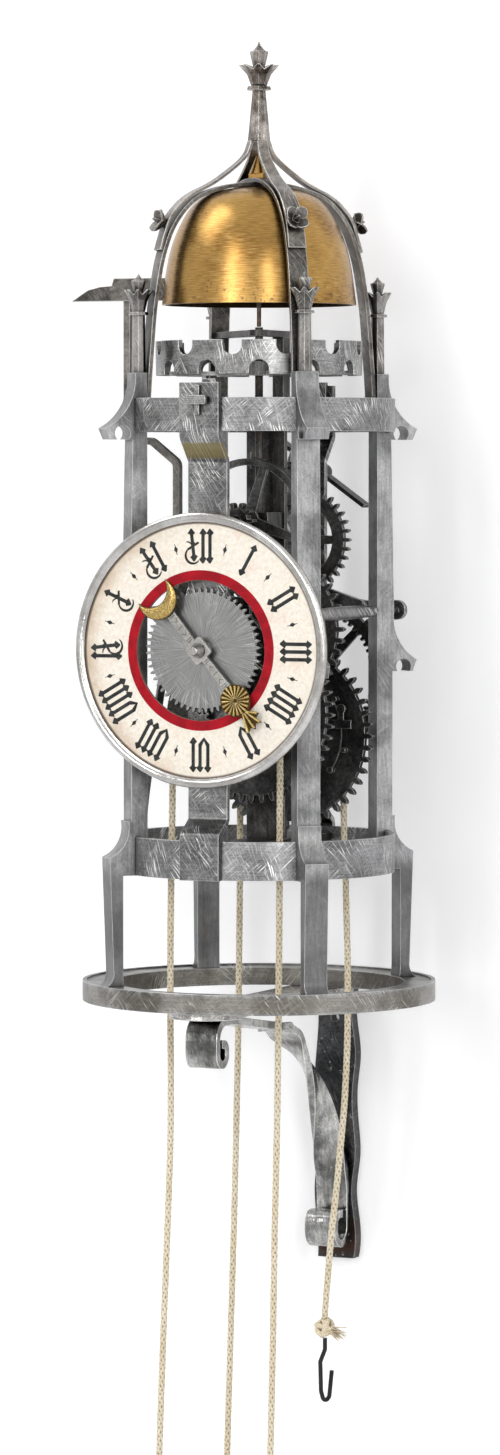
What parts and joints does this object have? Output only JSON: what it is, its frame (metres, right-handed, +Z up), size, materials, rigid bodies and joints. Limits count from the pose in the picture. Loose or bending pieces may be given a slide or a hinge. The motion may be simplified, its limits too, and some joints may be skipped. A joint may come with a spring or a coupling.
{
  "type": "lantern clock",
  "caption": "Open iron Gothic wall clock: round four-post frame, going and striking trains, domed bell cage, round dial, forged wall bracket and hanging cords",
  "frame": {"origin": "centre of the back face of the wall plate, midway between its two screw holes", "axes": "+X to the right seen from the front, +Y into the wall, -Y out of the dial, +Z up"},
  "size_m": [0.1925, 0.1905, 0.7614],
  "materials": {
    "frame_iron": "filed and brushed wrought iron",
    "strap_iron": "filed and brushed wrought iron",
    "arch_iron": "dark forged iron",
    "spire_iron": "forged iron with brown patina",
    "train_iron": "dark oiled iron",
    "hour_wheel_iron": "radially ground iron",
    "bell_brass": "brushed brass",
    "nut_brass": "brushed brass",
    "dial_cream": "cream paint",
    "bezel_steel": "polished steel",
    "hand_steel": "engraved",
    "hand_brass": "chased brass",
    "hammer_iron": "filed and brushed wrought iron",
    "wall_iron": "hammered gunmetal",
    "brace_iron": "filed and brushed wrought iron",
    "cord_linen": "twisted natural linen",
    "hook_wire": "black wire"
  },
  "bodies": {
    "frame": {"post_front_left": "frame_iron", "post_front_right": "frame_iron", "post_rear_left": "frame_iron", "post_rear_right": "frame_iron", "post_finials": "frame_iron", "upper_hoop": "frame_iron", "lower_hoop": "frame_iron", "base_ring": "frame_iron", "front_strap": "strap_iron", "middle_strap": "strap_iron", "rear_strap": "strap_iron", "cross_bars": "strap_iron", "strap_keys": "strap_iron", "balance_cock": "strap_iron", "potences": "strap_iron", "wheel_studs": "strap_iron", "dome_arches": "arch_iron", "ogee_straps": "arch_iron", "rosettes": "arch_iron", "spire": "spire_iron", "spire_finial": "spire_iron", "bell_stud": "spire_iron", "bell": "bell_brass", "bell_nut": "nut_brass", "dial_plate": "dial_cream", "dial_bezel": "bezel_steel", "hammer_spring": "hammer_iron", "wall_plate": "wall_iron", "shelf_bar": "brace_iron", "brace": "brace_iron", "cord_going": "cord_linen", "cord_strike": "cord_linen", "cord_knots": "cord_linen", "cord_hooks": "hook_wire"},
    "balance": {"verge": "train_iron", "balance_ring": "train_iron"},
    "going_great": {"going_great_arbor": "train_iron", "going_great_wheel": "train_iron"},
    "going_rope_pulley": {"going_pulley": "train_iron"},
    "going_pulley_click": {"going_click": "train_iron"},
    "going_second": {"going_second_arbor": "train_iron", "going_second_wheel": "train_iron"},
    "crown": {"crown_arbor": "train_iron", "crown_wheel": "train_iron"},
    "hour": {"hour_wheel": "hour_wheel_iron", "hour_hand": "hand_steel", "hand_ornaments": "hand_brass"},
    "strike_great": {"strike_great_arbor": "train_iron", "strike_great_wheel": "train_iron"},
    "strike_rope_pulley": {"strike_pulley": "train_iron"},
    "strike_pulley_click": {"strike_click": "train_iron"},
    "strike_second": {"strike_second_arbor": "train_iron", "strike_second_wheel": "train_iron"},
    "strike_third": {"strike_third_arbor": "train_iron", "strike_third_wheel": "train_iron"},
    "fly_staff": {"fly_arbor": "train_iron"},
    "fly_vanes": {"fly": "train_iron"},
    "count": {"count_wheel": "train_iron"},
    "hammer_arm": {"hammer": "hammer_iron"},
    "detent_arm": {"detent": "train_iron"}
  },
  "joints": [
    {"name": "balance_swing", "type": "hinge", "parent": "frame", "child": "balance", "pos_m": [0, -0.102, 0.396], "axis": [0, 0, 1], "range_deg": [-50, 50]},
    {"name": "going_great_spin", "type": "hinge", "parent": "frame", "child": "going_great", "pos_m": [0, -0.102, 0.2194], "axis": [0, 1, 0], "continuous": true},
    {"name": "going_second_spin", "type": "hinge", "parent": "frame", "child": "going_second", "pos_m": [0, -0.102, 0.27131], "axis": [0, 1, 0], "continuous": true},
    {"name": "crown_spin", "type": "hinge", "parent": "frame", "child": "crown", "pos_m": [0, -0.102, 0.31578], "axis": [0, 1, 0], "continuous": true},
    {"name": "hour_spin", "type": "hinge", "parent": "frame", "child": "hour", "pos_m": [0, -0.102, 0.25279], "axis": [0, 1, 0], "continuous": true},
    {"name": "going_pulley_spin", "type": "hinge", "parent": "going_great", "child": "going_rope_pulley", "pos_m": [0, -0.102, 0.2194], "axis": [0, 1, 0], "continuous": true},
    {"name": "going_click_swing", "type": "hinge", "parent": "going_great", "child": "going_pulley_click", "pos_m": [-0.01268, -0.102, 0.24324], "axis": [0, 1, 0], "range_deg": [-12, 0]},
    {"name": "strike_great_spin", "type": "hinge", "parent": "frame", "child": "strike_great", "pos_m": [0, -0.102, 0.2072], "axis": [0, 1, 0], "continuous": true},
    {"name": "strike_second_spin", "type": "hinge", "parent": "frame", "child": "strike_second", "pos_m": [0, -0.102, 0.26124], "axis": [0, 1, 0], "continuous": true},
    {"name": "strike_third_spin", "type": "hinge", "parent": "frame", "child": "strike_third", "pos_m": [0, -0.102, 0.30554], "axis": [0, 1, 0], "continuous": true},
    {"name": "fly_staff_spin", "type": "hinge", "parent": "frame", "child": "fly_staff", "pos_m": [0, -0.102, 0.33981], "axis": [0, 1, 0], "continuous": true},
    {"name": "fly_slip", "type": "hinge", "parent": "fly_staff", "child": "fly_vanes", "pos_m": [0, -0.102, 0.33981], "axis": [0, 1, 0], "continuous": true},
    {"name": "count_spin", "type": "hinge", "parent": "frame", "child": "count", "pos_m": [0, -0.102, 0.23594], "axis": [0, 1, 0], "continuous": true},
    {"name": "strike_pulley_spin", "type": "hinge", "parent": "strike_great", "child": "strike_rope_pulley", "pos_m": [0, -0.102, 0.2072], "axis": [0, 1, 0], "continuous": true},
    {"name": "strike_click_swing", "type": "hinge", "parent": "strike_great", "child": "strike_pulley_click", "pos_m": [0.0324, -0.102, 0.22095], "axis": [0, 1, 0], "range_deg": [-12, 0]},
    {"name": "hammer_swing", "type": "hinge", "parent": "frame", "child": "hammer_arm", "pos_m": [-0.0464, -0.102, 0.27], "axis": [0, 1, 0], "range_deg": [-12, 0.8], "stiffness_Nm_per_rad": 0.6, "springref_deg": 0.84},
    {"name": "detent_lift", "type": "hinge", "parent": "frame", "child": "detent_arm", "pos_m": [0.0464, -0.102, 0.27], "axis": [0, 1, 0], "range_deg": [0, 8]}
  ],
  "couplings": [
    {"joint": "going_second_spin", "follows": "crown_spin", "ratio": -0.22727},
    {"joint": "going_great_spin", "follows": "crown_spin", "ratio": 0.047348},
    {"joint": "hour_spin", "follows": "crown_spin", "ratio": -0.0059186},
    {"joint": "strike_second_spin", "follows": "strike_third_spin", "ratio": -0.2},
    {"joint": "strike_great_spin", "follows": "strike_third_spin", "ratio": 0.033333},
    {"joint": "fly_staff_spin", "follows": "strike_third_spin", "ratio": -3.6},
    {"joint": "count_spin", "follows": "strike_third_spin", "ratio": 0.0043011}
  ]
}
